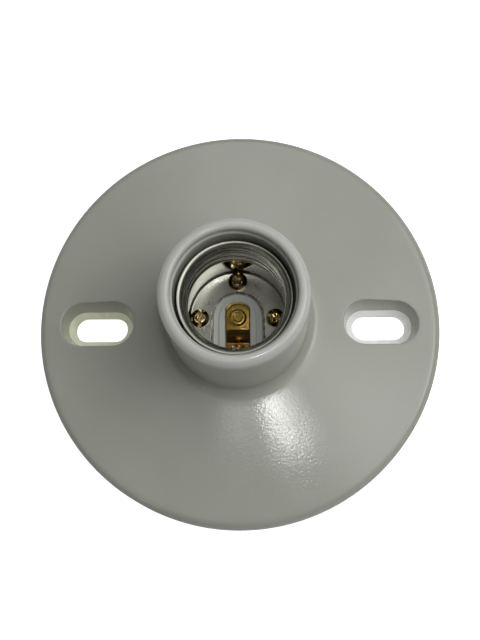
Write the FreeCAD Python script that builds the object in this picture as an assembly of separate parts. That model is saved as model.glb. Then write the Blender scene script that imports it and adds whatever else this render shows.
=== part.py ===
"""Keyless lamp holder: a round dished base with a collar that holds an Edison screw shell.

Millimetres. +Z is the lamp axis, pointing out of the socket. z = 0 is the back rim, which lies
on the wall or outlet box. The two fixing slots lie along X, and the contact strip runs to -Y.
"""
import FreeCAD, Part
import math
import os

from FreeCAD import Vector

# --- screw shell (drawn aluminium cup, rolled with the E26 thread) ---
shell_major_radius = 13.3     # inside, at the thread's root and along the plain wall
shell_thread_depth = 0.9
shell_sheet = 0.4
shell_height = 25.7
shell_lip_flare = 1.2         # how far the mouth is belled out
shell_corner_break = 0.25     # inside, between the floor and the wall
thread_pitch = 25.4 / 7
thread_length = 11.3
thread_fade = 1.3             # height over which the thread rises out of the wall
thread_start_height = 18.65   # a crest passes the +Y side this far above the shell's floor
sections_per_turn = 5
floor_cutout_radius = 7.1     # U-shaped opening in the shell's floor
wall_notch_height = 4.4       # the opening runs this far up the wall on the -Y side

round_facets = 3              # every rounded corner is turned as this many short straights

# --- moulded body ---
base_radius = 57.0
skirt_draft = 0.4             # how far the skirt leans in at the shoulder
shoulder_height = 8.75
shoulder_round = 2.4
dome_rise = 4.4               # from the shoulder to the collar's foot
body_wall = 3.0
collar_wall = 3.1             # at the rim
collar_draft = 0.45           # how much wider the collar is at its foot
collar_foot_round = 3.5
rim_round_outer = 1.9
rim_round_inner = 1.1
rim_above_shell = 6.7
shell_gap = 0.8               # between the shell's mouth and the bore
mouth_step = 0.45             # the bore is this much wider just inside the rim
mouth_depth = 2.4
terminal_room = 7.0           # depth of the back, behind the central block
floor_thickness = 8.6

# --- fixing slots ---
slot_spacing = 80.0
slot_length = 15.2
slot_width = 7.2
ledge_thickness = 2.8
recess_margin_length = 1.85   # recess beyond the slot at the ledge, at each end
recess_margin_width = 1.55    # and at each side
recess_flare = 1.1            # how much the recess widens up to the dome, all round
pillar_wall = 1.9

# --- insulating wall round the contact ---
island_radius = 6.7
island_rise = 1.4             # above the body's floor
inner_island_radius = 5.05
inner_island_rise = 2.4
groove_clearance = 0.15       # contact strip to the groove's sides
groove_depth = 3.2            # below the body's floor

# --- centre contact (one folded strip) ---
strip_width = 6.6
strip_end_radius = 4.3
strip_sheet = 0.6
tongue_height = 1.4           # top of the tongue above the body's floor
tongue_bend = 3.0             # where the tongue folds down
riser_run = 3.2
strip_end_margin = 3.3        # beyond the contact screw
button_radius = 2.25
button_rise = 1.3
button_round = 0.7
button_dish_radius = 1.35
button_dish_depth = 0.25

# --- fasteners ---
screw_radius = 1.5            # M3
screw_head_radius = 2.6
screw_head_height = 2.0
screw_head_clearance = 0.05   # between a head and the shell's wall
contact_screw_reach = 9.2
screw_end_past_nut = 0.4
screw_clearance = 0.2
thread_clearance = 0.05
drive_slot_width = 0.8
drive_slot_depth = 0.7
drive_cross_depth = 1.2
nut_across_flats = 5.5
nut_thickness = 2.4
nut_clearance = 0.12

# --- supply terminals ---
plate_width = 7.5
plate_thickness = 1.6
plate_margin = 3.6            # plate beyond each of its two screws
plate_clearance = 0.12
terminal_reach = 22.0         # binding screw from the lamp axis
terminal_screw_radius = 2.0   # M4
terminal_head_radius = 3.5
terminal_head_height = 2.2
terminal_screw_tip = 2.0      # beyond the plate
terminal_pitch = 0.7
terminal_turns = 2.5          # from clamped to fully backed off
washer_size = 8.0
washer_thickness = 1.0
washer_hole_clearance = 0.08
washer_corner = 1.2
washer_side_gap = 0.4
block_wall = 1.8              # ribs that stop the washers from turning
rib_overlap = 0.25            # what a rib still holds of a washer that is backed off
barrier_thickness = 1.8

# --- sizes that follow ---
lip_radius = shell_major_radius + shell_lip_flare
bore_radius = lip_radius + shell_gap
mouth_radius = bore_radius + mouth_step
collar_rim_radius = mouth_radius + collar_wall
collar_foot_radius = collar_rim_radius + collar_draft
floor_top = terminal_room + floor_thickness
shell_top = floor_top + shell_height
thread_top = shell_top - shell_lip_flare
thread_foot = thread_top - thread_length
rim_height = shell_top + rim_above_shell
dome_foot_height = shoulder_height + dome_rise
shoulder_radius = base_radius - skirt_draft
dome_slope = dome_rise / (shoulder_radius - collar_foot_radius)
block_back = terminal_room
groove_floor = floor_top - groove_depth
tongue_top = floor_top + tongue_height
foot_top = groove_floor + strip_sheet
strip_half = strip_width / 2
strip_end_reach = contact_screw_reach + strip_end_margin
groove_half = strip_half + groove_clearance
plate_front = block_back + plate_thickness
terminal_travel = terminal_pitch * terminal_turns
block_rib_height = washer_thickness + terminal_travel + rib_overlap
screw_circle_radius = shell_major_radius - shell_corner_break - screw_head_radius - screw_head_clearance
washer_half = washer_size / 2
bar_half_width = washer_half + washer_side_gap + block_wall
bar_reach = terminal_reach + washer_half + washer_side_gap + block_wall
beyond = 5.0                  # how far a cutting tool stands proud of what it cuts


def dome_height(radius):
    """Height of the dome's outer surface at a radius."""
    return shoulder_height + (shoulder_radius - radius) * dome_slope


def corner_facets(before, corner, after, radius):
    """Points on the arc that rounds a corner, from tangent point to tangent point."""
    back = (before - corner).normalize()
    ahead = (after - corner).normalize()
    half_angle = back.getAngle(ahead) / 2
    run = radius / math.tan(half_angle)
    centre = corner + (back + ahead).normalize() * (radius / math.sin(half_angle))
    first = corner + back * run - centre
    last = corner + ahead * run - centre
    sweep = math.pi - 2 * half_angle
    points = []
    for i in range(round_facets + 1):
        angle = sweep * i / round_facets
        mix = (first * math.sin(sweep - angle) + last * math.sin(angle)) / math.sin(sweep)
        points.append(centre + mix)
    return points


def rounded_wire(corners):
    """Closed wire in the XZ plane through (x, z) or (x, z, round) corners."""
    places = [Vector(c[0], 0, c[1]) for c in corners]
    points = []
    for i, corner in enumerate(corners):
        if len(corner) > 2:
            points += corner_facets(places[i - 1], places[i], places[(i + 1) % len(places)], corner[2])
        else:
            points.append(places[i])
    return Part.makePolygon(points + points[:1])


def turned(corners):
    """Solid of revolution about Z."""
    face = Part.Face(rounded_wire(corners))
    return face.revolve(Vector(0, 0, 0), Vector(0, 0, 1), 360)


def rod(radius, low, high, x=0.0, y=0.0):
    return Part.makeCylinder(radius, high - low, Vector(x, y, low))


def block(x_low, x_high, y_low, y_high, z_low, z_high):
    corner = Vector(x_low, y_low, z_low)
    return Part.makeBox(x_high - x_low, y_high - y_low, z_high - z_low, corner)


def obround_wire(length, width, x, z):
    """Slot outline along X, centred on x, at height z."""
    radius = width / 2
    reach = length / 2 - radius
    right = Part.Arc(Vector(x + reach, -radius, z), Vector(x + reach + radius, 0, z),
                     Vector(x + reach, radius, z)).toShape()
    left = Part.Arc(Vector(x - reach, radius, z), Vector(x - reach - radius, 0, z),
                    Vector(x - reach, -radius, z)).toShape()
    top = Part.LineSegment(Vector(x + reach, radius, z), Vector(x - reach, radius, z)).toShape()
    bottom = Part.LineSegment(Vector(x - reach, -radius, z), Vector(x + reach, -radius, z)).toShape()
    return Part.Wire([right, top, left, bottom])


def obround_prism(length, width, x, low, high):
    face = Part.Face(obround_wire(length, width, x, low))
    return face.extrude(Vector(0, 0, high - low))


def u_prism(radius, low, high, reach):
    """Round-ended bar of half-width radius, from the axis out to -Y."""
    return rod(radius, low, high).fuse(block(-radius, radius, -reach, 0, low, high)).removeSplitter()


def hexagon_prism(across_flats, low, high, x):
    corner_radius = across_flats / math.sqrt(3)
    corners = [Vector(x + corner_radius * math.cos(math.radians(60 * i + 30)),
                      corner_radius * math.sin(math.radians(60 * i + 30)), low) for i in range(7)]
    return Part.Face(Part.makePolygon(corners)).extrude(Vector(0, 0, high - low))


# --- body ---

def body_outside():
    """Base, dome and collar with the lamp bore, solid at the back."""
    return turned([
        (0, 0),
        (base_radius, 0),
        (shoulder_radius, shoulder_height, shoulder_round),
        (collar_foot_radius, dome_foot_height, collar_foot_round),
        (collar_rim_radius, rim_height, rim_round_outer),
        (mouth_radius, rim_height, rim_round_inner),
        (mouth_radius, rim_height - mouth_depth),
        (bore_radius, rim_height - mouth_depth - mouth_step),
        (bore_radius, floor_top),
        (0, floor_top),
    ])


def back_cavity():
    """Hollow behind the dome, stepped up round the central block."""
    skirt_inside = base_radius - body_wall
    roof_edge = skirt_inside - skirt_draft
    block_radius = collar_foot_radius
    return turned([
        (0, -beyond),
        (skirt_inside, -beyond),
        (roof_edge, dome_height(roof_edge) - body_wall),
        (block_radius, dome_height(block_radius) - body_wall),
        (block_radius, block_back),
        (0, block_back),
    ])


def slot_pillar(x, outside):
    """Wall round a fixing slot, from the middle of the dome's wall down to the mounting plane."""
    margin = recess_flare + pillar_wall
    length = slot_length + 2 * (recess_margin_length + margin)
    width = slot_width + 2 * (recess_margin_width + margin)
    within = outside.copy()
    within.translate(Vector(0, 0, -body_wall / 2))
    return obround_prism(length, width, x, 0, rim_height).common(within)


def slot_recess(x):
    """Flared recess over the ledge."""
    depth = dome_height(slot_spacing / 2) - ledge_thickness
    top = shoulder_height + dome_rise + beyond
    widening = 2 * recess_flare * (top - ledge_thickness) / depth
    length = slot_length + 2 * recess_margin_length
    width = slot_width + 2 * recess_margin_width
    low = obround_wire(length, width, x, ledge_thickness)
    high = obround_wire(length + widening, width + widening, x, top)
    return Part.makeLoft([low, high], True, True)


def terminal_bar(side):
    """Bar behind the dome that carries one supply terminal, with its two stop ribs."""
    rib_back = block_back - block_rib_height
    rib_inside = washer_half + washer_side_gap
    rib_start = terminal_reach - washer_half
    top = dome_height(collar_foot_radius) - body_wall / 2
    bar = block(-bar_half_width, bar_half_width, 0, bar_reach, block_back, top)
    side_rib = block(rib_inside, bar_half_width, rib_start, bar_reach, rib_back, top)
    end_rib = block(-bar_half_width, bar_half_width, bar_reach - block_wall, bar_reach, rib_back, top)
    shape = bar.fuse([side_rib, end_rib])
    if side < 0:
        shape.rotate(Vector(0, 0, 0), Vector(0, 0, 1), 180)
    return shape


def barrier():
    """Rib between the two terminals."""
    reach = screw_circle_radius - nut_across_flats / 2 - block_wall
    half = barrier_thickness / 2
    return block(-reach, reach, -half, half, block_back - block_rib_height, floor_top)


def terminal_cut(side, fixing_reach):
    """Plate seat, fixing hole and blind tip hole of one terminal."""
    grow = plate_clearance
    half = plate_width / 2 + grow
    start = fixing_reach - plate_margin - grow
    end = terminal_reach + plate_margin + grow
    seat = block(-half, half, start, end, block_back - beyond, plate_front)
    fixing = rod(screw_radius + screw_clearance, block_back, floor_top + beyond, 0, fixing_reach)
    tip_top = plate_front + terminal_screw_tip + screw_clearance
    tip = rod(terminal_screw_radius + screw_clearance, block_back, tip_top, 0, terminal_reach)
    shape = seat.common(block(-half, half, start, end, block_back, plate_front)).fuse([fixing, tip])
    if side < 0:
        shape.rotate(Vector(0, 0, 0), Vector(0, 0, 1), 180)
    return shape


def nut_cut(x):
    """Hexagonal nut pocket and the screw hole above it."""
    pocket_top = block_back + nut_thickness
    pocket = hexagon_prism(nut_across_flats + 2 * nut_clearance, block_back - beyond, pocket_top, x)
    return pocket.fuse(rod(screw_radius + screw_clearance, block_back, floor_top + beyond, x))


def contact_groove():
    """Groove in the island and the floor, which the contact strip lies in."""
    low = groove_floor
    high = floor_top + inner_island_rise + beyond
    end = strip_end_reach + groove_clearance
    outline = block(-groove_half, groove_half, -end, strip_end_radius + beyond, low, high)
    round_end = rod(strip_end_radius + groove_clearance, low, high)
    return outline.common(round_end.fuse(block(-bore_radius, bore_radius, -end, 0, low, high)))


def body():
    outside = body_outside()
    shape = outside.cut(back_cavity())
    pillars = [slot_pillar(x, outside) for x in (-slot_spacing / 2, slot_spacing / 2)]
    bars = [terminal_bar(side) for side in (1, -1)]
    island = u_prism(island_radius, groove_floor, floor_top + island_rise, bore_radius + mouth_step)
    inner_island = u_prism(inner_island_radius, groove_floor, floor_top + inner_island_rise,
                           bore_radius + mouth_step)
    shape = shape.fuse(pillars + bars + [barrier(), island, inner_island]).removeSplitter()
    cuts = [contact_groove()]
    cuts += [terminal_cut(1, screw_circle_radius), terminal_cut(-1, contact_screw_reach)]
    cuts += [nut_cut(x) for x in (-screw_circle_radius, screw_circle_radius)]
    for x in (-slot_spacing / 2, slot_spacing / 2):
        cuts.append(obround_prism(slot_length, slot_width, x, -beyond, rim_height))
        cuts.append(slot_recess(x))
    return shape.cut(cuts).removeSplitter()


# --- screw shell ---

def shell_cup():
    """Plain floor and lower wall, up to the foot of the thread."""
    inside = shell_major_radius
    outside = inside + shell_sheet
    outer_break = shell_corner_break + shell_sheet * math.tan(math.pi / 8)
    return turned([
        (0, floor_top),
        (outside - outer_break, floor_top),
        (outside, floor_top + outer_break),
        (outside, thread_foot),
        (inside, thread_foot),
        (inside, floor_top + shell_sheet + shell_corner_break),
        (inside - shell_corner_break, floor_top + shell_sheet),
        (0, floor_top + shell_sheet),
    ])


def shell_mouth():
    """Belled mouth above the thread, in two straight steps."""
    inside = shell_major_radius
    outside = inside + shell_sheet
    knee = shell_lip_flare * 0.3
    return turned([
        (inside, thread_top),
        (outside, thread_top),
        (outside + knee - shell_sheet / 2, shell_top - shell_sheet - knee),
        (lip_radius, shell_top - shell_sheet),
        (lip_radius, shell_top),
        (inside + knee, shell_top - knee),
    ])


def thread_section(z, extra_radius):
    """A round section whose centre walks round the axis once per pitch, which is the rolled thread."""
    rise = min((z - thread_foot) / thread_fade, (thread_top - z) / thread_fade, 1.0)
    smooth = rise * rise * (3 - 2 * rise)
    offset = smooth * shell_thread_depth / 2
    crest_angle = math.pi / 2 + 2 * math.pi * (z - floor_top - thread_start_height) / thread_pitch
    centre = Vector(-offset * math.cos(crest_angle), -offset * math.sin(crest_angle), z)
    radius = shell_major_radius - offset + extra_radius
    return Part.Wire([Part.makeCircle(radius, centre)])


def shell_thread():
    """Rolled thread: the sheet's outer and inner faces, ruled through the walking sections."""
    steps = round(thread_length / thread_pitch * sections_per_turn)
    heights = [thread_foot + thread_length * i / steps for i in range(steps + 1)]
    outer = Part.makeLoft([thread_section(z, shell_sheet) for z in heights], True, True)
    inner = Part.makeLoft([thread_section(z, 0) for z in heights], True, True)
    return outer.cut(inner)


def screw_shell():
    shape = shell_cup().fuse([shell_thread(), shell_mouth()])
    floor_high = floor_top + shell_sheet + shell_corner_break + beyond
    opening = u_prism(floor_cutout_radius, floor_top - beyond, floor_top + wall_notch_height,
                      bore_radius)
    opening = opening.common(rod(floor_cutout_radius, floor_top - beyond, floor_high)
                             .fuse(block(-bore_radius, bore_radius, -bore_radius, 0,
                                         floor_top - beyond, floor_high)))
    hole_radius = screw_radius + screw_clearance
    places = [(-screw_circle_radius, 0), (screw_circle_radius, 0), (0, screw_circle_radius)]
    holes = [rod(hole_radius, floor_top - beyond, floor_high, x, y) for x, y in places]
    return shape.cut([opening] + holes)


# --- centre contact ---

def contact_strip():
    """Foot, riser and tongue, folded from one strip, seen from the side and drawn out in width."""
    bend = strip_sheet
    slope = (tongue_top - foot_top) / riser_run
    lean = strip_sheet * (math.sqrt(1 + slope * slope) - 1) / slope
    corners = [
        (-strip_end_reach, groove_floor),
        (-tongue_bend - riser_run + lean, groove_floor, bend),
        (-tongue_bend + lean, tongue_top - strip_sheet, bend),
        (strip_end_radius, tongue_top - strip_sheet),
        (strip_end_radius, tongue_top),
        (-tongue_bend, tongue_top, bend),
        (-tongue_bend - riser_run, foot_top, bend),
        (-strip_end_reach, foot_top),
    ]
    face = Part.Face(rounded_wire(corners))
    face.rotate(Vector(0, 0, 0), Vector(0, 0, 1), 90)
    face.translate(Vector(-strip_half, 0, 0))
    strip = face.extrude(Vector(strip_width, 0, 0))
    round_end = rod(strip_end_radius, groove_floor, floor_top + beyond)
    behind = block(-strip_half, strip_half, -strip_end_reach, 0, groove_floor, floor_top + beyond)
    return strip.common(round_end.fuse(behind))


def centre_contact():
    sheet_under = tongue_top - strip_sheet
    button_top = tongue_top + button_rise
    button = turned([
        (0, sheet_under),
        (button_radius, sheet_under),
        (button_radius, button_top - button_round),
        (button_radius - button_round * 0.3, button_top - button_round * 0.3),
        (button_radius - button_round, button_top),
        (button_dish_radius, button_top),
        (0, button_top - button_dish_depth),
    ])
    hollow_top = button_top - button_dish_depth - strip_sheet
    hollow = rod(button_radius - strip_sheet, sheet_under - beyond, hollow_top)
    foot_hole = rod(screw_radius + screw_clearance, groove_floor - beyond, foot_top + beyond,
                    0, -contact_screw_reach)
    clear = hollow.common(rod(button_radius, sheet_under, button_top))
    return contact_strip().fuse(button).cut([clear, foot_hole])


# --- fasteners ---

def pan_screw(radius, head_radius, head_height, length):
    """Pan-head screw with a combined slot and cross, head seated on z = 0 and shank down to -length."""
    crown_radius = head_radius * 0.68
    shape = turned([
        (0, -length),
        (radius, -length),
        (radius, 0),
        (head_radius, 0),
        (head_radius, head_height * 0.55),
        (crown_radius, head_height),
        (0, head_height),
    ])
    half = drive_slot_width / 2
    arm = crown_radius - 0.1
    slot = block(-half, half, -head_radius, head_radius, head_height - drive_slot_depth, head_height)
    cross_low = head_height - drive_cross_depth
    across = block(-arm, arm, -half, half, cross_low, head_height)
    along = block(-half, half, -arm, arm, cross_low, head_height)
    return shape.cut([slot, across, along])


def shell_screw(x, y, end_height):
    seat = floor_top + shell_sheet
    shape = pan_screw(screw_radius, screw_head_radius, screw_head_height, seat - end_height)
    shape.translate(Vector(x, y, seat))
    return shape


def contact_screw():
    length = foot_top - block_back + screw_end_past_nut
    shape = pan_screw(screw_radius, screw_head_radius, screw_head_height, length)
    shape.rotate(Vector(0, 0, 0), Vector(0, 0, 1), 35)
    shape.translate(Vector(0, -contact_screw_reach, foot_top))
    return shape


def shell_nut(x):
    nut = hexagon_prism(nut_across_flats, block_back, block_back + nut_thickness, x)
    return nut.cut(rod(screw_radius + thread_clearance, 0, floor_top, x))


def terminal_plate(side, fixing_reach):
    start = fixing_reach - plate_margin
    end = terminal_reach + plate_margin
    half = plate_width / 2
    plate = block(-half, half, start, end, block_back, plate_front)
    fixing = rod(screw_radius + thread_clearance, 0, floor_top, 0, fixing_reach)
    binding = rod(terminal_screw_radius + thread_clearance, 0, floor_top, 0, terminal_reach)
    shape = plate.cut([fixing, binding])
    if side < 0:
        shape.rotate(Vector(0, 0, 0), Vector(0, 0, 1), 180)
    return shape


def terminal_washer(side):
    low = block_back - washer_thickness
    centre = side * terminal_reach
    plate = block(-washer_half, washer_half, centre - washer_half, centre + washer_half, low, block_back)
    upright = [edge for edge in plate.Edges if abs(edge.tangentAt(0).z) > 0.9]
    plate = plate.makeChamfer(washer_corner, upright)
    return plate.cut(rod(terminal_screw_radius + washer_hole_clearance, 0, floor_top, 0, centre))


def terminal_screw(side):
    length = washer_thickness + plate_thickness + terminal_screw_tip
    shape = pan_screw(terminal_screw_radius, terminal_head_radius, terminal_head_height, length)
    shape.rotate(Vector(0, 0, 0), Vector(1, 0, 0), 180)
    shape.rotate(Vector(0, 0, 0), Vector(0, 0, 1), 20 * side)
    shape.translate(Vector(0, side * terminal_reach, block_back - washer_thickness))
    return shape


def all_parts():
    screw_end = block_back - screw_end_past_nut
    reach = screw_circle_radius
    return {
        "body": body(),
        "screw_shell": screw_shell(),
        "centre_contact": centre_contact(),
        "shell_screw_left": shell_screw(-reach, 0, screw_end),
        "shell_screw_right": shell_screw(reach, 0, screw_end),
        "shell_screw_top": shell_screw(0, reach, screw_end),
        "contact_screw": contact_screw(),
        "shell_nut_left": shell_nut(-reach),
        "shell_nut_right": shell_nut(reach),
        "neutral_terminal_plate": terminal_plate(1, reach),
        "line_terminal_plate": terminal_plate(-1, contact_screw_reach),
        "neutral_terminal_washer": terminal_washer(1),
        "line_terminal_washer": terminal_washer(-1),
        "neutral_terminal_screw": terminal_screw(1),
        "line_terminal_screw": terminal_screw(-1),
    }


os.makedirs("parts", exist_ok=True)
for name, shape in all_parts().items():
    shape.exportStep("parts/" + name + ".step")
    box = shape.BoundBox
    print(name, len(shape.Solids), "solid, valid", shape.isValid(), "volume", round(shape.Volume, 1),
          "z", round(box.ZMin, 2), round(box.ZMax, 2))
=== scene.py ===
"""Keyless lamp holder: moulded body, rolled shell, contact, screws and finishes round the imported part.

Metres. +Z is the lamp axis, z = 0 is the plane of the back rim, and the contact strip runs towards -Y.
"""

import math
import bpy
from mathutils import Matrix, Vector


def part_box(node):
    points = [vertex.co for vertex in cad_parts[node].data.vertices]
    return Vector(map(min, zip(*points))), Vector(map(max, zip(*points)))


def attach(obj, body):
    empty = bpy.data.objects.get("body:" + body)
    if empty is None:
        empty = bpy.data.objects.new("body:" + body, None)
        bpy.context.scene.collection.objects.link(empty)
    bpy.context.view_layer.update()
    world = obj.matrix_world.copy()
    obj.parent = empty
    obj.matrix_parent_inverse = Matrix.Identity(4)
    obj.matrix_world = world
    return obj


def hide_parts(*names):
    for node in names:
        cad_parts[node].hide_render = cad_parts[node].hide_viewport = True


bl_info = {
    "name": "Keyless lamp holder",
    "version": (1, 0, 0),
    "blender": (4, 5, 0),
    "location": "View3D > Sidebar > Lamp holder",
    "description": "Builds a round lamp holder: body, screw shell, contact, screws, terminals and stage",
    "category": "Object",
}

import bmesh
import bpy
from bpy.props import FloatProperty, FloatVectorProperty, IntProperty, PointerProperty
from bpy.types import Operator, Panel, PropertyGroup
from mathutils import Vector, geometry, noise

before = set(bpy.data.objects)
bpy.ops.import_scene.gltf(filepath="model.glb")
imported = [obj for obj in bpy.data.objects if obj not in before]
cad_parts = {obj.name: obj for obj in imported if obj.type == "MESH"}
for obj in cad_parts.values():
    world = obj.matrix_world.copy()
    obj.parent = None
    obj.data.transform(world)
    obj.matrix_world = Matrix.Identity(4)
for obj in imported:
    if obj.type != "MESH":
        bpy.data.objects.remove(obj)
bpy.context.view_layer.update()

MM = 0.001
SAME_POINT, PACKED_POINT, CARVED_POINT = 2e-7, 1e-6, 2e-6
SLIVER = 1e-10
HOLE_CLEARANCE = 0.2 * MM
_, BODY_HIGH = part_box("body")
SHELL_LOW, SHELL_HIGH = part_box("screw_shell")
CONTACT_LOW, CONTACT_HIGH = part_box("centre_contact")
SHELL_SCREW_LOW, SHELL_SCREW_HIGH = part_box("shell_screw_right")
FOOT_SCREW_LOW, FOOT_SCREW_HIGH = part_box("contact_screw")
BINDING_LOW, BINDING_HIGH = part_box("neutral_terminal_screw")
HOLDER = "holder"
SQUARE = ((-1, -1), (1, -1), (1, 1), (-1, 1))


def size(label, description, millimetres):
    return FloatProperty(name=label, description=description, default=millimetres * MM,
                         unit="LENGTH", subtype="DISTANCE", precision=5)


def colour(label, description, value):
    return FloatVectorProperty(name=label, description=description, default=value, size=3,
                               min=0.0, max=1.0, subtype="COLOR")


# ---------------------------------------------------------------- sizes and colours

class LampHolderBodySizes(PropertyGroup):
    base_radius: size("Base radius", "Outer radius at the back rim", BODY_HIGH.y / MM)
    rim_height: size("Rim height", "Top of the collar above the back rim", BODY_HIGH.z / MM)
    skirt_draft: size("Skirt draft", "How far the skirt leans in at the shoulder", 0.4)
    foot_round: size("Foot round", "Rounding of the outer edge at the back rim", 0.3)
    shoulder_height: size("Shoulder height", "Where the skirt and the dome would meet", 8.75)
    shoulder_round: size("Shoulder round", "Rounding between the skirt and the dome", 2.4)
    dome_rise: size("Dome rise", "From the shoulder to the collar's foot", 4.4)
    body_wall: size("Body wall", "Thickness of the dome", 3.0)
    collar_foot_radius: size("Collar foot radius", "Outer radius of the collar at the dome", 19.3)
    collar_rim_radius: size("Collar rim radius", "Outer radius of the collar at its rim", 18.85)
    collar_foot_round: size("Collar foot round", "Fillet between the collar and the dome", 3.5)
    rim_round_outer: size("Outer rim round", "Rounding of the rim's outer edge", 1.9)
    rim_round_inner: size("Inner rim round", "Rounding of the rim's inner edge", 1.1)
    mouth_radius: size("Mouth radius", "Bore just inside the rim", 15.75)
    mouth_depth: size("Mouth depth", "Depth of the wider mouth", 2.4)
    bore_radius: size("Bore radius", "Bore round the screw shell", 15.3)
    slot_spacing: size("Slot spacing", "Between the centres of the two fixing slots", 80.0)
    slot_reach: size("Slot reach", "Half the straight length of a fixing slot", 4.0)
    slot_radius: size("Slot radius", "End radius of a fixing slot", 3.6)
    ledge_height: size("Ledge height", "Top of the ledge that a screw head lies on", 2.8)
    recess_reach: size("Recess reach", "Half the straight length of the recess", 4.3)
    recess_radius: size("Recess radius", "End radius of the recess at its ledge", 5.15)
    recess_flare: size("Recess flare", "How much the recess widens up to the dome", 1.1)
    recess_edge: size("Recess edge", "Softness of the recess's upper edge", 0.45)
    ledge_fillet: size("Ledge fillet", "Fillet between the ledge and the recess's wall", 0.2)
    turn_steps: IntProperty(name="Turn steps", description="Columns round the body", default=256, min=64)


class LampHolderIslandSizes(PropertyGroup):
    outer_radius: size("Outer radius", "Half width of the insulating wall", 6.7)
    outer_rise: size("Outer rise", "Outer tier above the body's floor", 1.4)
    inner_radius: size("Inner radius", "Half width of the raised inner tier", 5.05)
    inner_rise: size("Inner rise", "Inner tier above the body's floor", 2.4)
    groove_half: size("Groove half width", "Half width of the contact's groove", 3.45)
    groove_end: size("Groove end radius", "Round end of the contact's groove", 4.45)
    edge_round: size("Edge round", "Rounding of the tiers' edges", 0.22)


class LampHolderShellSizes(PropertyGroup):
    inside_radius: size("Inside radius", "Plain wall, and the thread's root", 13.3)
    sheet: size("Sheet", "Thickness of the drawn sheet", 0.4)
    corner_round: size("Corner round", "Inside corner between floor and wall", 0.6)
    lip_round: size("Lip round", "Bell of the mouth", 1.2)
    thread_pitch: size("Thread pitch", "Seven turns per inch", 25.4 / 7)
    thread_depth: size("Thread depth", "From root to crest", 0.9)
    thread_length: size("Thread length", "Height of the rolled part", 11.3)
    thread_fade: size("Thread fade", "Height over which the thread rises out of the wall", 1.3)
    thread_start: size("Thread start", "Height of a crest at the far side, above the floor", 18.65)
    cutout_radius: size("Cut-out radius", "Half width of the opening in the floor", 6.82)
    notch_height: size("Notch height", "How far the opening runs up the wall", 4.4)
    burr: size("Burr", "How far the punched edge is turned up", 0.4)


class LampHolderContactSizes(PropertyGroup):
    half_width: size("Half width", "Half width of the contact strip", 3.3)
    end_radius: size("End radius", "Round end of the tongue", 4.3)
    sheet: size("Sheet", "Thickness of the strip", 0.6)
    tongue_height: size("Tongue height", "Top of the tongue above the back rim", 17.0)
    bend: size("Bend", "Where the tongue folds down, from the lamp axis", 3.0)
    riser_run: size("Riser run", "Length of the sloping riser", 3.2)
    bend_round: size("Bend round", "Radius of both folds", 0.6)
    button_radius: size("Button radius", "Raised contact button", 2.25)
    button_round: size("Button round", "Rounding of the button's edge", 0.55)
    dish_radius: size("Dish radius", "Dimple in the button", 1.35)
    dish_depth: size("Dish depth", "Depth of the dimple", 0.25)
    crown: size("Crown", "How much the tongue's long edges droop", 0.18)


class LampHolderScrewSizes(PropertyGroup):
    circle_radius: size("Circle radius", "Shell screws from the lamp axis",
                        (SHELL_SCREW_LOW.x + SHELL_SCREW_HIGH.x) / 2 / MM)
    foot_reach: size("Contact screw reach", "Contact screw from the lamp axis",
                     -(FOOT_SCREW_LOW.y + FOOT_SCREW_HIGH.y) / 2 / MM)
    head_radius: size("Head radius", "Pan head of the M3 screws",
                      (SHELL_SCREW_HIGH.y - SHELL_SCREW_LOW.y) / 2 / MM)
    head_height: size("Head height", "Pan head of the M3 screws", 2.0)
    shank_radius: size("Shank radius", "M3 shank", 1.5)
    binding_reach: size("Binding screw reach", "Binding screws from the lamp axis",
                        (BINDING_LOW.y + BINDING_HIGH.y) / 2 / MM)
    binding_head_radius: size("Binding head radius", "Head of the M4 binding screws", 3.5)
    binding_head_height: size("Binding head height", "Head of the M4 binding screws", 2.2)
    binding_shank_radius: size("Binding shank radius", "M4 shank", 2.0)
    slot_width: size("Slot width", "Width of the driving slot", 0.9)


class LampHolderFinishes(PropertyGroup):
    resin: colour("Resin", "Glossy moulded body", (0.52, 0.535, 0.465))
    # Painted highlight: the paler rim colour stands in for light falling on the top of the collar.
    rim_painted_highlight: colour("Rim resin", "Paler resin of the handled rim", (0.78, 0.79, 0.74))
    # Painted light: the paler island colour stands in for the light that reaches the socket's floor; its
    # roughness is the same as the body's.
    island: colour("Island", "Unpolished resin round the contact", (0.83, 0.86, 0.80))
    # Painted light: the near-white ledge colour stands in for the light on the slot ledges.
    ledge: colour("Ledge", "Unpolished resin of the slot ledges", (1.0, 1.0, 0.98))
    # Darker and yellower colour used for the left slot's ledge.
    left_ledge_colour: colour("Aged ledge", "Yellowed resin of the left slot's ledge", (0.80, 0.81, 0.63))
    aluminium: colour("Aluminium", "Rolled screw shell", (0.62, 0.62, 0.58))
    dull_aluminium: colour("Dull aluminium", "Punched floor of the screw shell", (0.44, 0.44, 0.38))
    brass: colour("Brass", "Polished contact strip", (0.54, 0.37, 0.08))
    # Darker brown used for the riser and foot, below the tongue.
    lower_brass: colour("Browned brass", "Riser and foot of the contact strip", (0.34, 0.19, 0.06))
    plating: colour("Plating", "Yellow plated screws", (0.50, 0.42, 0.20))
    steel: colour("Steel", "Zinc plated nuts", (0.62, 0.62, 0.60))
    nickel: colour("Nickel", "Nickel plated neutral terminal", (0.74, 0.73, 0.70))
    terminal: colour("Terminal brass", "Terminal plates and the gilt line terminal", (0.74, 0.58, 0.28))
    floor: colour("Floor", "Pale floor of the stage", (0.9, 0.9, 0.9))


def settings(name):
    return getattr(bpy.context.scene, "lamp_holder_" + name)


# ---------------------------------------------------------------- mesh helpers

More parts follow.
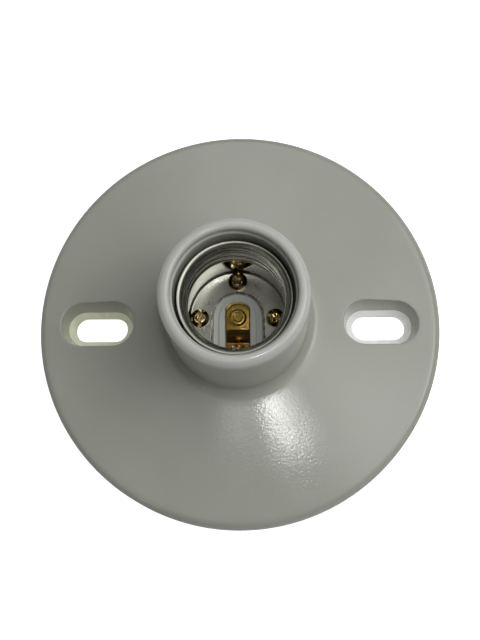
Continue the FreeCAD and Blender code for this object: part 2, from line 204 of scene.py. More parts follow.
def rounded(corners, steps=8):
    """Open outline through (x, z, round) corners, with each round as a true arc."""
    points = []
    for i, corner in enumerate(corners):
        here = Vector(corner[:2])
        radius = corner[2] if len(corner) > 2 else 0.0
        if not radius:
            points.append(here)
            continue
        back = (Vector(corners[i - 1][:2]) - here).normalized()
        ahead = (Vector(corners[i + 1][:2]) - here).normalized()
        half = back.angle(ahead) / 2
        centre = here + (back + ahead).normalized() * radius / math.sin(half)
        start = here + back * radius / math.tan(half) - centre
        end = here + ahead * radius / math.tan(half) - centre
        sweep = math.pi - 2 * half
        for k in range(steps + 1):
            t = k / steps
            mix = start * math.sin(sweep * (1 - t)) + end * math.sin(sweep * t)
            points.append(centre + mix / math.sin(sweep))
    return points


class Skin:
    """Points and faces gathered ring by ring."""

    def __init__(self):
        self.points = []
        self.faces = []
        self.finish = []

    def ring(self, points):
        first = len(self.points)
        self.points += [Vector(p) for p in points]
        return list(range(first, len(self.points)))

    def face(self, corners, finish=0):
        self.faces.append(corners)
        self.finish.append(finish)

    def bridge(self, one, two, closed=True, finish=0):
        last = len(one) if closed else len(one) - 1
        for i in range(last):
            j = (i + 1) % len(one)
            self.face((one[i], one[j], two[j], two[i]), finish)

    def fan(self, ring, centre):
        for i, a in enumerate(ring):
            self.face((a, ring[(i + 1) % len(ring)], centre))

    def fill(self, loops, inner, height):
        """Triangles between loops of existing points: inside the first loop and outside the others."""
        known = [i for loop in loops for i in loop]
        flat = [self.points[i].xy for i in known] + [Vector(p) for p in inner]
        edges, first = [], 0
        for loop in loops:
            edges += [(first + i, first + (i + 1) % len(loop)) for i in range(len(loop))]
            first += len(loop)
        verts, _, tris, origin, _, _ = geometry.delaunay_2d_cdt(flat, edges, [], 0, 1e-9)
        index = []
        for vert, source in zip(verts, origin):
            if source and source[0] < len(known):
                index.append(known[source[0]])
            else:
                index += self.ring([(vert.x, vert.y, height(vert.length))])
        outlines = [[self.points[i].xy for i in loop] for loop in loops]
        for tri in tris:
            corners = [Vector(verts[i]) for i in tri]
            middle = sum(corners, Vector((0, 0))) / 3
            area = abs((corners[1] - corners[0]).cross(corners[2] - corners[0]))
            if area > SLIVER and sum(surrounds(outline, middle) for outline in outlines) == 1:
                self.face(tuple(index[i] for i in tri))

    def mesh(self, name):
        data = bpy.data.meshes.new(name)
        data.from_pydata([tuple(p) for p in self.points], [], self.faces)
        data.polygons.foreach_set("material_index", self.finish)
        work = bmesh.new()
        work.from_mesh(data)
        bmesh.ops.remove_doubles(work, verts=work.verts, dist=SAME_POINT)
        bmesh.ops.dissolve_degenerate(work, edges=work.edges, dist=SAME_POINT / 10)
        loose = [v for v in work.verts if not v.link_faces]
        bmesh.ops.delete(work, geom=loose, context="VERTS")
        bmesh.ops.recalc_face_normals(work, faces=work.faces)
        work.to_mesh(data)
        work.free()
        return data


def surrounds(outline, p):
    """Whether a closed outline goes round a point."""
    crossings = 0
    for a, b in zip(outline, outline[1:] + outline[:1]):
        if (a.y > p.y) != (b.y > p.y):
            crossings += p.x < a.x + (b.x - a.x) * (p.y - a.y) / (b.y - a.y)
    return crossings % 2 == 1


def add_object(name, data):
    made = bpy.data.objects.new(name, data)
    bpy.context.scene.collection.objects.link(made)
    return made


def remove_object(made):
    data = made.data
    bpy.data.objects.remove(made)
    if data and data.users == 0:
        bpy.data.meshes.remove(data)


def settle(made):
    """Replaces an object's mesh by what its modifiers make of it, and removes the modifiers."""
    graph = bpy.context.evaluated_depsgraph_get()
    result = bpy.data.meshes.new_from_object(made.evaluated_get(graph), depsgraph=graph)
    made.modifiers.clear()
    old = made.data
    made.data = result
    bpy.data.meshes.remove(old)


def carve(made, tool, operation="DIFFERENCE"):
    """Cuts with a tool object, or joins it on. The tool is used up."""
    step = made.modifiers.new("carve", "BOOLEAN")
    step.operation = operation
    step.solver = "EXACT"
    step.object = tool
    settle(made)
    remove_object(tool)
    if not made.data.polygons:
        raise RuntimeError(f"carving left nothing of {made.name}")


def weld(made, distance):
    """Closes the hair-thin steps that a carve can leave."""
    work = bmesh.new()
    work.from_mesh(made.data)
    bmesh.ops.remove_doubles(work, verts=work.verts, dist=distance)
    bmesh.ops.dissolve_degenerate(work, edges=work.edges, dist=distance / 2)
    work.to_mesh(made.data)
    work.free()


def soften(made, width, degrees):
    """Breaks the edges that turn by more than an angle."""
    step = made.modifiers.new("edges", "BEVEL")
    step.width = width
    step.segments = 2
    step.limit_method = "ANGLE"
    step.angle_limit = math.radians(degrees)
    settle(made)


def thicken(made, sheet, offset, even=False):
    """Gives a face the thickness of its sheet, on one side of it."""
    step = made.modifiers.new("sheet", "SOLIDIFY")
    step.thickness = sheet
    step.offset = offset
    step.use_even_offset = even
    settle(made)


def smooth(made, degrees=34):
    made.data.shade_smooth()
    made.data.set_sharp_from_angle(angle=math.radians(degrees))
    return made


def dress(made, *materials):
    if made.data.materials:
        made.data.materials.clear()
    for material in materials:
        made.data.materials.append(material)
    return made


def quarter(steps):
    """Even steps through a quarter turn, with both ends."""
    return [math.pi / 2 * k / steps for k in range(steps + 1)]


def circle(radius, height, count):
    turns = [2 * math.pi * i / count for i in range(count)]
    return [(radius * math.cos(a), radius * math.sin(a), height) for a in turns]


def turned_object(name, outline, count):
    """Closed solid turned about Z from an outline that starts and ends on the axis."""
    skin = Skin()
    rings = [skin.ring(circle(p.x, p.y, count)) for p in outline[1:-1]]
    for one, two in zip(rings, rings[1:]):
        skin.bridge(one, two)
    skin.fan(rings[0], skin.ring([(0, 0, outline[0].y)])[0])
    skin.fan(rings[-1], skin.ring([(0, 0, outline[-1].y)])[0])
    return add_object(name, skin.mesh(name))


def prism_object(name, outline, low, high):
    skin = Skin()
    bottom = skin.ring([(p[0], p[1], low) for p in outline])
    top = skin.ring([(p[0], p[1], high) for p in outline])
    skin.bridge(bottom, top)
    skin.face(tuple(bottom))
    skin.face(tuple(top))
    return add_object(name, skin.mesh(name))


def hole_tool(x, y, radius, low, high):
    """Round pin that carves a screw's hole."""
    return prism_object("hole", [(x + p[0], y + p[1]) for p in circle(radius, 0, 32)], low, high)


def node_copy(node):
    """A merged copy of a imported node's mesh."""
    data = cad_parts[node].data.copy()
    work = bmesh.new()
    work.from_mesh(data)
    bmesh.ops.remove_doubles(work, verts=work.verts, dist=PACKED_POINT)
    bmesh.ops.dissolve_limit(work, angle_limit=math.radians(0.5), verts=work.verts, edges=work.edges)
    work.to_mesh(data)
    work.free()
    return add_object(node + "_copy", data)


def obround(count=28):
    """Slot outline as (place along the straight, direction) pairs, place from -1 to 1."""
    pairs = []
    for side in (1, -1):
        for k in range(count + 1):
            angle = math.pi * (k / count - 0.5) + (0 if side > 0 else math.pi)
            pairs.append((side, Vector((math.cos(angle), math.sin(angle)))))
        for k in range(1, 10):
            pairs.append((side * (1 - 2 * k / 10), Vector((0, side))))
    return pairs


# ---------------------------------------------------------------- moulded body

# Rings of the dome. A slot's window takes up this many of their gaps, and these degrees to each side.
DOME_ROWS = [r * MM for r in (53.4, 50, 46.5, 43, 39.5, 36, 33, 30, 27, 24.5)]
WINDOW_ROWS = 8
WINDOW_TURN = 18.3
SLOT_ROUND = 0.25 * MM
PLUG_MARGIN = 1.13 * MM
ISLAND_REACH = 15.9 * MM
GROOVE_GAP = 0.15 * MM


def dome_height(s, radius):
    shoulder_radius = s.base_radius - s.skirt_draft
    slope = s.dome_rise / (shoulder_radius - s.collar_foot_radius)
    return s.shoulder_height + (shoulder_radius - radius) * slope


def front_outline(s, floor_top):
    """Half section of the front, from the back rim over the dome and rim and down the bore."""
    mouth_foot = s.rim_height - s.mouth_depth
    throat_round = 0.2 * MM
    return rounded([
        (s.base_radius - 1 * MM, 0),
        (s.base_radius, 0, s.foot_round),
        (s.base_radius - s.skirt_draft, s.shoulder_height, s.shoulder_round),
        *[(r, dome_height(s, r)) for r in DOME_ROWS],
        (s.collar_foot_radius, s.shoulder_height + s.dome_rise, s.collar_foot_round),
        (s.collar_rim_radius, s.rim_height, s.rim_round_outer),
        (s.mouth_radius, s.rim_height, s.rim_round_inner),
        (s.mouth_radius, mouth_foot, throat_round),
        (s.bore_radius, mouth_foot - (s.mouth_radius - s.bore_radius), throat_round),
        (s.bore_radius, floor_top + 4 * MM),
        (s.bore_radius, floor_top),
    ])


def slot_patch(skin, s, side, window, inner_points):
    """Through slot, ledge, flared recess and soft upper edge, joined to the window left in the dome."""
    centre = side * s.slot_spacing / 2
    outline = obround()
    dome = dome_height(s, s.slot_spacing / 2)
    fillet = s.ledge_fillet

    def place(pair, reach, radius, z):
        along, way = pair
        return Vector((centre + along * reach + way.x * radius, way.y * radius, z))

    def wall(pair, z):
        radius = s.recess_radius + s.recess_flare * (z - s.ledge_height) / (dome - s.ledge_height)
        return place(pair, s.recess_reach, radius, z)

    def edge(pair):
        z = dome
        for _ in range(6):
            z = dome_height(s, wall(pair, z).xy.length)
        return z

    def on_dome(pair, z, beyond=0.0):
        radius = (wall(pair, z).xy - place(pair, s.recess_reach, 0, 0).xy).length + s.recess_edge + beyond
        flat = place(pair, s.recess_reach, radius, 0)
        return Vector((flat.x, flat.y, dome_height(s, flat.xy.length)))

    def even_ring(reach, radius, z):
        return skin.ring([place(p, reach, radius, z) for p in outline])

    edges = [(p, edge(p)) for p in outline]
    inside = s.slot_radius + SLOT_ROUND
    rings = [even_ring(s.slot_reach, s.slot_radius, 0)]
    for turn in quarter(4):
        rings.append(even_ring(s.slot_reach, inside - SLOT_ROUND * math.cos(turn),
                               s.ledge_height - SLOT_ROUND * (1 - math.sin(turn))))
    rings.append(even_ring((s.slot_reach + s.recess_reach) / 2, (inside + s.recess_radius - fillet) / 2,
                           s.ledge_height))
    for turn in quarter(5):
        rings.append(even_ring(s.recess_reach, s.recess_radius - fillet * (1 - math.sin(turn)),
                               s.ledge_height + fillet * (1 - math.cos(turn))))
    ledge_rings = len(rings) - 4  # the ledge's finish ends on its fillet
    foot = s.ledge_height + fillet
    for share in (0.35, 0.7):
        rings.append(skin.ring([wall(p, foot + (z - foot - s.recess_edge) * share) for p, z in edges]))
    for k in range(7):
        t = k / 6
        rings.append(skin.ring([wall(p, z - s.recess_edge) * (1 - t) ** 2 + wall(p, z) * 2 * t * (1 - t)
                                + on_dome(p, z) * t * t for p, z in edges]))
    for step in (0.6, 1.3):
        rings.append(skin.ring([on_dome(p, z, step * MM) for p, z in edges]))
    for i, (one, two) in enumerate(zip(rings, rings[1:])):
        skin.bridge(one, two, finish=1 if i < ledge_rings else 0)
    half = max(skin.points[i].y for i in rings[-1])

    def clear(p):
        along = max(abs(p.x - centre) - s.recess_reach, 0.0)
        return math.hypot(along, p.y) > half + 0.7 * MM

    skin.fill([window, rings[-1]], [p for p in inner_points if clear(p)], lambda r: dome_height(s, r))
    return rings[0]


def front_solid(s, floor_top):
    """The whole body as a closed solid with a plain back."""
    count = s.turn_steps
    outline = front_outline(s, floor_top)
    skin = Skin()
    rings = [skin.ring(circle(p.x, p.y, count)) for p in outline]
    start = Vector((DOME_ROWS[0], dome_height(s, DOME_ROWS[0])))
    first = min(range(len(outline)), key=lambda i: (outline[i] - start).length)
    last = first + WINDOW_ROWS
    wide = round(WINDOW_TURN / 360 * count)
    windows = {side: [(middle + k) % count for k in range(-wide, wide + 1)]
               for side, middle in ((1, 0), (-1, count // 2))}
    open_cells = {c for columns in windows.values() for c in columns[:-1]}
    for row, (one, two) in enumerate(zip(rings, rings[1:])):
        for c in range(count):
            if first <= row < last and c in open_cells:
                continue
            d = (c + 1) % count
            skin.face((one[c], one[d], two[d], two[c]))
    skin.fan(rings[-1], skin.ring([(0, 0, floor_top)])[0])
    holes = []
    for side, columns in windows.items():
        window = [rings[first][c] for c in columns]
        window += [rings[r][columns[-1]] for r in range(first + 1, last + 1)]
        window += [rings[last][c] for c in reversed(columns[:-1])]
        window += [rings[r][columns[0]] for r in range(last - 1, first, -1)]
        inner = [skin.points[rings[r][c]].xy for r in range(first + 1, last) for c in columns[1:-1:2]]
        holes.append(slot_patch(skin, s, side, window, inner))
    skin.fill([rings[0]] + holes, [], lambda r: 0.0)
    return add_object("moulded_body", skin.mesh("moulded_body"))


def back_tool(s):
    """Everything that is open at the back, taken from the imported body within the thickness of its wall."""
    half_wall = s.body_wall / 2
    skirt = s.base_radius - half_wall

    def within_wall(radius):
        return Vector((radius, dome_height(s, radius) - half_wall))

    inside = within_wall(s.collar_foot_radius)
    outline = [Vector((0, -1 * MM)), Vector((skirt, -1 * MM)), within_wall(skirt - s.skirt_draft), inside,
               Vector((0, inside.y))]
    tool = turned_object("back_tool", outline, 128)
    carve(tool, node_copy("body"))
    radius = s.recess_radius + s.recess_flare + PLUG_MARGIN
    for side in (1, -1):
        outline = [(side * s.slot_spacing / 2 + along * s.recess_reach + way.x * radius, way.y * radius)
                   for along, way in obround(16)]
        carve(tool, prism_object("plug", outline, -2 * MM, 20 * MM))
    return tool


def island_stations(reach):
    """Right side from -Y to the axis, the half turn, and the left side back to -Y, as (side, y, turn)."""
    straight = [-reach + reach * k / 8 for k in range(8)]
    half_turn = [(0, 0.0, math.pi * k / 60) for k in range(61)]
    return [(1, y, None) for y in straight] + half_turn + [(-1, y, None) for y in reversed(straight)]


def tier_point(s, station, radius):
    """Point of a tier's edge, which is a U shape."""
    side, y, turn = station
    return (side * radius, y) if side else (radius * math.cos(turn), radius * math.sin(turn))


def groove_point(s, station, beyond):
    """Point of the groove's edge, or of a line beyond it. The groove ends in a flatter arc."""
    side, y, turn = station
    half = s.groove_half + beyond
    if side:
        return (side * half, y)
    radius = min(half / max(abs(math.cos(turn)), 1e-6), s.groove_end + beyond)
    return (radius * math.cos(turn), radius * math.sin(turn))


def island_object(s, floor_top):
    """Insulating wall round the contact, in two tiers."""
    low = floor_top - 0.4 * MM
    step = floor_top + s.outer_rise
    top = floor_top + s.inner_rise
    r = s.edge_round
    foot = s.inner_radius + 0.5 * MM
    tiers = rounded([(s.outer_radius, low), (s.outer_radius, step, r), (foot, step)], 4)
    tiers += rounded([(foot, step), (s.inner_radius, step, 0.12 * MM), (s.inner_radius, top, r),
                      (s.inner_radius - r - 0.02 * MM, top)], 4)[1:]
    groove = rounded([(r, top), (0, top, r * 0.8), (0, low)], 4)
    section = [(tier_point, p) for p in tiers] + [(groove_point, p) for p in groove]
    skin = Skin()
    rings = [skin.ring([(*point(s, station, p.x), p.y) for point, p in section])
             for station in island_stations(ISLAND_REACH)]
    for one, two in zip(rings, rings[1:]):
        skin.bridge(one, two)
    skin.face(tuple(rings[0]))
    skin.face(tuple(rings[-1]))
    return add_object("island", skin.mesh("island"))


def groove_object(s, low, high, end):
    """Tool for the groove below the body's floor, a hair narrower than the island's walls."""
    outline = [groove_point(s, station, -0.02 * MM) for station in island_stations(end)]
    return prism_object("groove", outline, low, high)


class LAMPHOLDER_OT_body(Operator):
    """Build the moulded body: dome, fixing slots, collar, bore, island and back"""
    bl_idname = "lampholder.body"
    bl_label = "Moulded body"

    def execute(self, context):
        s = settings("body")
        island = settings("island")
        floor_top = SHELL_LOW.z
        body = dress(front_solid(s, floor_top), moulded_resin(), ledge_resin_painted_glow())
        carve(body, island_object(island, floor_top), "UNION")
        carve(body, groove_object(island, CONTACT_LOW.z, floor_top + 0.2 * MM, GROOVE_GAP - CONTACT_LOW.y))
        carve(body, back_tool(s))
        weld(body, CARVED_POINT)
        smooth(body)
        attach(body, HOLDER)
        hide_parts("body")
        return {"FINISHED"}


# ---------------------------------------------------------------- node tree helpers

SOCKETS = {float: "Float", int: "Int", tuple: "Color"}


class Tree:
    """Short way to add and join nodes in a shader or geometry tree."""

    def __init__(self, tree):
        self.tree = tree

    def add(self, kind, **values):
        node = self.tree.nodes.new(kind)
        for name, value in values.items():
            setattr(node, name, value)
        return node

    def join(self, source, target):
        self.tree.links.new(source, target)

    def feed(self, target, value):
        """Joins a socket, or sets a plain value."""
        if isinstance(value, bpy.types.NodeSocket):
            self.join(value, target)
        else:
            target.default_value = value

    def math(self, operation, *values):
        node = self.add("ShaderNodeMath", operation=operation)
        for target, value in zip(node.inputs, values):
            self.feed(target, value)
        return node.outputs[0]

    def parts(self, vector):
        node = self.add("ShaderNodeSeparateXYZ")
        self.join(vector, node.inputs[0])
        return node.outputs

    def vector(self, *values):
        node = self.add("ShaderNodeCombineXYZ")
        for target, value in zip(node.inputs, values):
            self.feed(target, value)
        return node.outputs[0]


def made_once(store, name):
    """Marks a maker: it runs once, and what it made is found by its name afterwards."""
    def wrap(maker):
        return lambda: getattr(bpy.data, store).get(name) or maker(name)
    return wrap


def new_tree(name, kind, inputs, outputs):
    """Node group whose inputs are given by a plain value or a kind of socket, and its two end nodes."""
    tree = bpy.data.node_groups.new(name, kind)
    for label, value in inputs.items():
        sort = SOCKETS.get(type(value), value)
        made = tree.interface.new_socket(name=label, in_out="INPUT", socket_type="NodeSocket" + sort)
        if sort != value:
            made.default_value = value
    for label, sort in outputs.items():
        tree.interface.new_socket(name=label, in_out="OUTPUT", socket_type="NodeSocket" + sort)
    t = Tree(tree)
    return t, t.add("NodeGroupInput"), t.add("NodeGroupOutput")


def geometry_tree(name, inputs):
    inputs = {"Geometry": "Geometry", **inputs, "Material": "Material"}
    t, start, end = new_tree(name, "GeometryNodeTree", inputs, {"Geometry": "Geometry"})
    t.tree.is_modifier = True
    return t, start, end


def run_tree(made, tree, values):
    """Runs a geometry tree on an object with the named inputs, and keeps the result as a plain mesh."""
    step = made.modifiers.new(tree.name, "NODES")
    step.node_group = tree
    for item in tree.interface.items_tree:
        if item.in_out == "INPUT" and item.name in values:
            step[item.identifier] = values[item.name]
    settle(made)


def finish_tree(t, mesh, start, end):
    realize = t.add("GeometryNodeRealizeInstances")
    material = t.add("GeometryNodeSetMaterial")
    t.join(mesh, realize.inputs["Geometry"])
    t.join(realize.outputs["Geometry"], material.inputs["Geometry"])
    t.join(start.outputs["Material"], material.inputs["Material"])
    t.join(material.outputs["Geometry"], end.inputs["Geometry"])
    return t.tree


# ---------------------------------------------------------------- screw shell

# Shares of the floor's width at which its rings lie, close together at the punched edge.
FLOOR_SHARES = (0, 0.008, 0.016, 0.024, 0.032, 0.041, 0.05, 0.06, 0.075, 0.1, 0.16, 0.3, 0.5, 0.75, 1)
RAGGED_SCALE, RAGGED_SLICE = 900, 0.0031
DENT_SCALE = 260
SHELL_COLUMNS, NOTCH_COLUMNS = 180, 36


@made_once("node_groups", "Rolled thread")
def rolled_thread_tree(name):
    """Moves a plain tube in and out so that its wall is a rolled right-hand thread of two equal arcs."""
    t, start, end = geometry_tree(name, {
        "Pitch": 3.63 * MM, "Depth": 0.9 * MM, "Foot": 28.8 * MM, "Top": 40.1 * MM, "Fade": 1.3 * MM,
        "Crest height": 34.0 * MM})
    value = start.outputs
    x, y, z = t.parts(t.add("GeometryNodeInputPosition").outputs[0])
    angle = t.math("ARCTAN2", y, x)
    climb = t.math("DIVIDE", t.math("SUBTRACT", z, value["Crest height"]), value["Pitch"])
    crest = t.math("MULTIPLY_ADD", climb, 2 * math.pi, math.pi / 2)
    wave = t.math("COSINE", t.math("SUBTRACT", angle, crest))
    along = t.math("MULTIPLY", t.math("ARCCOSINE", wave), t.math("DIVIDE", value["Pitch"], 2 * math.pi))
    run = t.math("DIVIDE", value["Pitch"], 4.0)
    half = t.math("DIVIDE", value["Depth"], 2.0)
    squares = t.math("ADD", t.math("POWER", run, 2.0), t.math("POWER", half, 2.0))
    arc = t.math("DIVIDE", squares, value["Depth"])
    near = t.math("MINIMUM", along, t.math("SUBTRACT", t.math("MULTIPLY", run, 2.0), along))
    chord = t.math("SQRT", t.math("SUBTRACT", t.math("POWER", arc, 2.0), t.math("POWER", near, 2.0)))
    bow = t.math("SUBTRACT", arc, chord)
    beyond = t.math("GREATER_THAN", along, run)
    crest_side = t.math("MULTIPLY", t.math("SUBTRACT", value["Depth"], bow), t.math("SUBTRACT", 1.0, beyond))
    share = t.math("MULTIPLY_ADD", bow, beyond, crest_side)
    rise = t.math("DIVIDE", t.math("SUBTRACT", z, value["Foot"]), value["Fade"])
    fall = t.math("DIVIDE", t.math("SUBTRACT", value["Top"], z), value["Fade"])
    soft = t.add("ShaderNodeMapRange", interpolation_type="SMOOTHSTEP")
    t.join(t.math("MINIMUM", rise, fall), soft.inputs["Value"])
    inward = t.math("MULTIPLY", share, soft.outputs["Result"])
    outward = t.add("ShaderNodeVectorMath", operation="NORMALIZE")
    t.join(t.vector(x, y), outward.inputs[0])
    shift = t.add("ShaderNodeVectorMath", operation="SCALE")
    t.join(outward.outputs[0], shift.inputs[0])
    t.join(t.math("MULTIPLY", inward, -1.0), shift.inputs["Scale"])
    move = t.add("GeometryNodeSetPosition")
    t.join(value["Geometry"], move.inputs["Geometry"])
    t.join(shift.outputs[0], move.inputs["Offset"])
    return finish_tree(t, move.outputs["Geometry"], start, end)


def shell_rows(s, floor, foot):
    """Half section of the shell's inside above its floor, as (radius, height), and the notch's height."""
    notch = floor - s.sheet + s.notch_height
    thread_top = foot + s.thread_length

    def wall(low, high, steps):
        return [(s.inside_radius, low + (high - low) * k / steps) for k in range(1, steps + 1)]

    rows = [(s.inside_radius - s.corner_round * (1 - math.sin(turn)),
             floor + s.corner_round * (1 - math.cos(turn))) for turn in quarter(6)]
    rows += wall(floor + s.corner_round, notch, 4) + wall(notch, foot, 8) + wall(foot, thread_top, 112)
    rows += [(s.inside_radius + s.lip_round * (1 - math.cos(turn)),
              thread_top + s.lip_round * math.sin(turn)) for turn in quarter(10)[1:]]
    return rows, notch


def punched_floor(s, floor, reach, angle, share):
    """Point of the shell's floor, with the ragged edge of its cut-out, the burr and a few slight dents."""
    c, n = math.cos(angle), math.sin(angle)
    behind = abs(angle) > math.pi / 2
    edge = s.cutout_radius / max(abs(n), 1e-6) if behind else s.cutout_radius
    ragged = noise.noise(Vector((n * edge, c * edge, RAGGED_SLICE)) * RAGGED_SCALE)
    edge = min(edge + 0.08 * MM * ragged, reach)
    radius = edge + (reach - edge) * share
    away = (radius - edge) * (abs(n) if behind else 1)
    lift = s.burr * (0.7 + 0.9 * ragged) * math.exp(-((away - 0.2 * MM) / (0.17 * MM)) ** 2)
    lift *= min((reach - edge) / (1.5 * MM), 1)
    dent = 0.03 * MM * noise.noise(Vector((radius * n, radius * c, 0)) * DENT_SCALE)
    dent *= min(away / MM, 1) * min((reach - radius) / MM, 1)
    return Vector((n * radius, c * radius, floor + lift + dent))


def shell_sheet(s, floor, foot):
    """Inside face of the shell: floor round the cut-out, fillet, wall with its notch, and belled mouth."""
    rows, notch = shell_rows(s, floor, foot)
    reach = rows[0][0]
    shares = [-1 + 2 * k / SHELL_COLUMNS for k in range(SHELL_COLUMNS + 1)]
    skin = Skin()

    def half_angle(radius):
        return math.pi - math.asin(s.cutout_radius / radius)

    def spot(angle, radius, z):
        return Vector((math.sin(angle) * radius, math.cos(angle) * radius, z))

    floor_rings = [skin.ring([punched_floor(s, floor, reach, u * half_angle(reach), t) for u in shares])
                   for t in FLOOR_SHARES]
    for one, two in zip(floor_rings, floor_rings[1:]):
        skin.bridge(one, two, closed=False)
    before, whole = floor_rings[-1], False
    for radius, z in rows[1:]:
        turn = half_angle(radius)
        points = [spot(u * turn, radius, z) for u in shares]
        past_notch = z >= notch - 1e-7
        if past_notch:
            rest = 2 * math.pi - 2 * turn
            points += [spot(turn + rest * k / NOTCH_COLUMNS, radius, z) for k in range(1, NOTCH_COLUMNS)]
        ring = skin.ring(points)
        skin.bridge(before, ring if whole else ring[:SHELL_COLUMNS + 1], closed=whole)
        before, whole = ring, past_notch
    return add_object("rolled_shell", skin.mesh("rolled_shell"))


class LAMPHOLDER_OT_shell(Operator):
    """Roll the screw shell: drawn cup, punched floor, right-hand thread and belled mouth"""
    bl_idname = "lampholder.shell"
    bl_label = "Screw shell"

    def execute(self, context):
        s = settings("shell")
        screws = settings("screws")
        floor = SHELL_LOW.z + s.sheet
        foot = SHELL_HIGH.z - s.lip_round - s.thread_length
        shell = shell_sheet(s, floor, foot)
        run_tree(shell, rolled_thread_tree(), {
            "Pitch": s.thread_pitch, "Depth": s.thread_depth, "Foot": foot, "Top": foot + s.thread_length,
            "Fade": s.thread_fade, "Crest height": SHELL_LOW.z + s.thread_start,
            "Material": bright_aluminium()})
        thicken(shell, s.sheet, outward_offset(shell), even=True)
        for x, y in ((1, 0), (-1, 0), (0, 1)):
            carve(shell, hole_tool(x * screws.circle_radius, y * screws.circle_radius,
                                   screws.shank_radius + HOLE_CLEARANCE, floor - 2 * MM, floor + 2 * MM))
        smooth(shell, 40)
        dress(shell, bright_aluminium())
        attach(shell, HOLDER)
        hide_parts("screw_shell")
        return {"FINISHED"}


def outward_offset(made):
    """Solidify's offset that adds the sheet away from the lamp axis, whichever way the faces point."""
    total = 0.0
    for face in made.data.polygons:
        if face.center.z > SHELL_LOW.z + 4 * MM:
            total += face.normal.xy.dot(face.center.xy.normalized()) * face.area
    return 1.0 if total > 0 else -1.0


# ---------------------------------------------------------------- centre contact

def tongue_limit(s, angle):
    """Distance from the button's centre to the tongue's edge, or to its fold."""
    c, n = math.cos(angle), math.sin(angle)
    limit = s.half_width / max(abs(c), 1e-9)
    if n >= 0:
        return min(limit, s.end_radius)
    return min(limit, s.bend / -n)


def strip_path(s, foot_top):
    """Top face of the folded strip behind the tongue, as (distance from the axis, height)."""
    corners = [
        (s.bend - 0.4 * MM, s.tongue_height),
        (s.bend + 0.2 * MM, s.tongue_height, s.bend_round * 0.6),
        (s.bend + s.riser_run, foot_top, s.bend_round),
        (-CONTACT_LOW.y, foot_top),
    ]
    return rounded(corners, 6)


def contact_skin(s, foot_top):
    """Upper face of the strip: dimpled button, tongue, fold, riser and foot."""
    count = 120
    skin = Skin()
    peak = CONTACT_HIGH.z
    section = rounded([(0, peak - s.dish_depth), (s.dish_radius * 0.75, peak - s.dish_depth, 0.4 * MM),
                       (s.dish_radius * 1.05, peak, 0.25 * MM),
                       (s.button_radius, peak, s.button_round),
                       (s.button_radius + 0.06 * MM, s.tongue_height, 0.2 * MM),
                       (s.half_width - 0.3 * MM, s.tongue_height)], 5)[1:]
    angles = [math.pi * 2 * k / count for k in range(count)]
    corner = math.atan2(s.bend, s.half_width)
    nearest = min(range(count), key=lambda k: abs(angles[k] - (2 * math.pi - corner)))
    angles[nearest] = 2 * math.pi - corner
    angles[(count // 2 + (count - nearest)) % count] = math.pi + corner
    centre = skin.ring([(0, 0, section[0].y)])[0]
    rings = [skin.ring([(p.x * math.cos(a), p.x * math.sin(a), p.y) for a in angles]) for p in section]
    limits = [(tongue_limit(s, a), a) for a in angles]
    rings.append(skin.ring([(r * math.cos(a), r * math.sin(a), s.tongue_height) for r, a in limits]))
    skin.fan(rings[0], centre)
    for one, two in zip(rings, rings[1:]):
        skin.bridge(one, two)
    before = folded = sorted((i for i in rings[-1] if abs(skin.points[i].y + s.bend) < 1e-8),
                             key=lambda i: skin.points[i].x)
    for p in strip_path(s, foot_top)[1:]:
        if p.x <= s.bend + 1e-7:
            continue
        ring = skin.ring([(skin.points[i].x, -p.x, p.y) for i in folded])
        skin.bridge(before, ring, closed=False)
        before = ring
    for p in skin.points:
        share = (p.z - foot_top) / (s.tongue_height - foot_top)
        p.z -= s.crown * min(max(share, 0.0), 1.0) * (p.x / s.half_width) ** 2
    return add_object("contact_strip", skin.mesh("contact_strip"))


class LAMPHOLDER_OT_contact(Operator):
    """Fold the centre contact from one strip, with its raised and dimpled button"""
    bl_idname = "lampholder.contact"
    bl_label = "Centre contact"

    def execute(self, context):
        s = settings("contact")
        screws = settings("screws")
        foot_top = CONTACT_LOW.z + s.sheet
        strip = contact_skin(s, foot_top)
        up = sum(f.normal.z * f.area for f in strip.data.polygons)
        thicken(strip, s.sheet, -1.0 if up > 0 else 1.0)
        carve(strip, hole_tool(0, -screws.foot_reach, screws.shank_radius + HOLE_CLEARANCE,
                               CONTACT_LOW.z - MM, foot_top + MM))
        soften(strip, 0.1 * MM, 60)
        smooth(strip, 40)
        dress(strip, polished_brass())
        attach(strip, HOLDER)
        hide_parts("centre_contact")
        return {"FINISHED"}


# ---------------------------------------------------------------- screws

def screw_prototype(name, head_radius, head_height, shank_radius, shank_length, slot_width):
    """Pan-head screw, seated on z = 0, with a driving slot, a cross recess and softened edges."""
    crown, arm, reach = head_radius * 0.56, head_radius * 0.62, head_radius * 1.1
    slot_floor, cross_floor, top = head_height * 0.56, head_height * 0.4, head_height + 0.2 * MM
    half = slot_width / 2
    arms, taper = (arm, half * 0.96), (0.42, 0.8)
    tip = 0.3 * MM
    screw = turned_object(name, rounded([
        (0, -shank_length),
        (shank_radius - tip, -shank_length),
        (shank_radius, -shank_length + tip),
        (shank_radius, 0),
        (head_radius - 0.05 * MM, 0),
        (head_radius, 0.12 * MM),
        (head_radius, head_height * 0.52, head_height * 0.22),
        (crown, head_height, head_height * 0.55),
        (0, head_height),
    ], 5), 56)
    carve(screw, prism_object("slot", [(x * half, y * reach) for x, y in SQUARE], slot_floor, top))
    for a, b in ((0, 1), (1, 0)):
        skin = Skin()
        low = skin.ring([(x * arms[a] * taper[a], y * arms[b] * taper[b], cross_floor) for x, y in SQUARE])
        high = skin.ring([(x * arms[a], y * arms[b], top) for x, y in SQUARE])
        skin.bridge(low, high)
        skin.face(tuple(low))
        skin.face(tuple(high))
        carve(screw, add_object("cross", skin.mesh("cross")))
    soften(screw, 0.07 * MM, 40)
    return smooth(screw, 38)


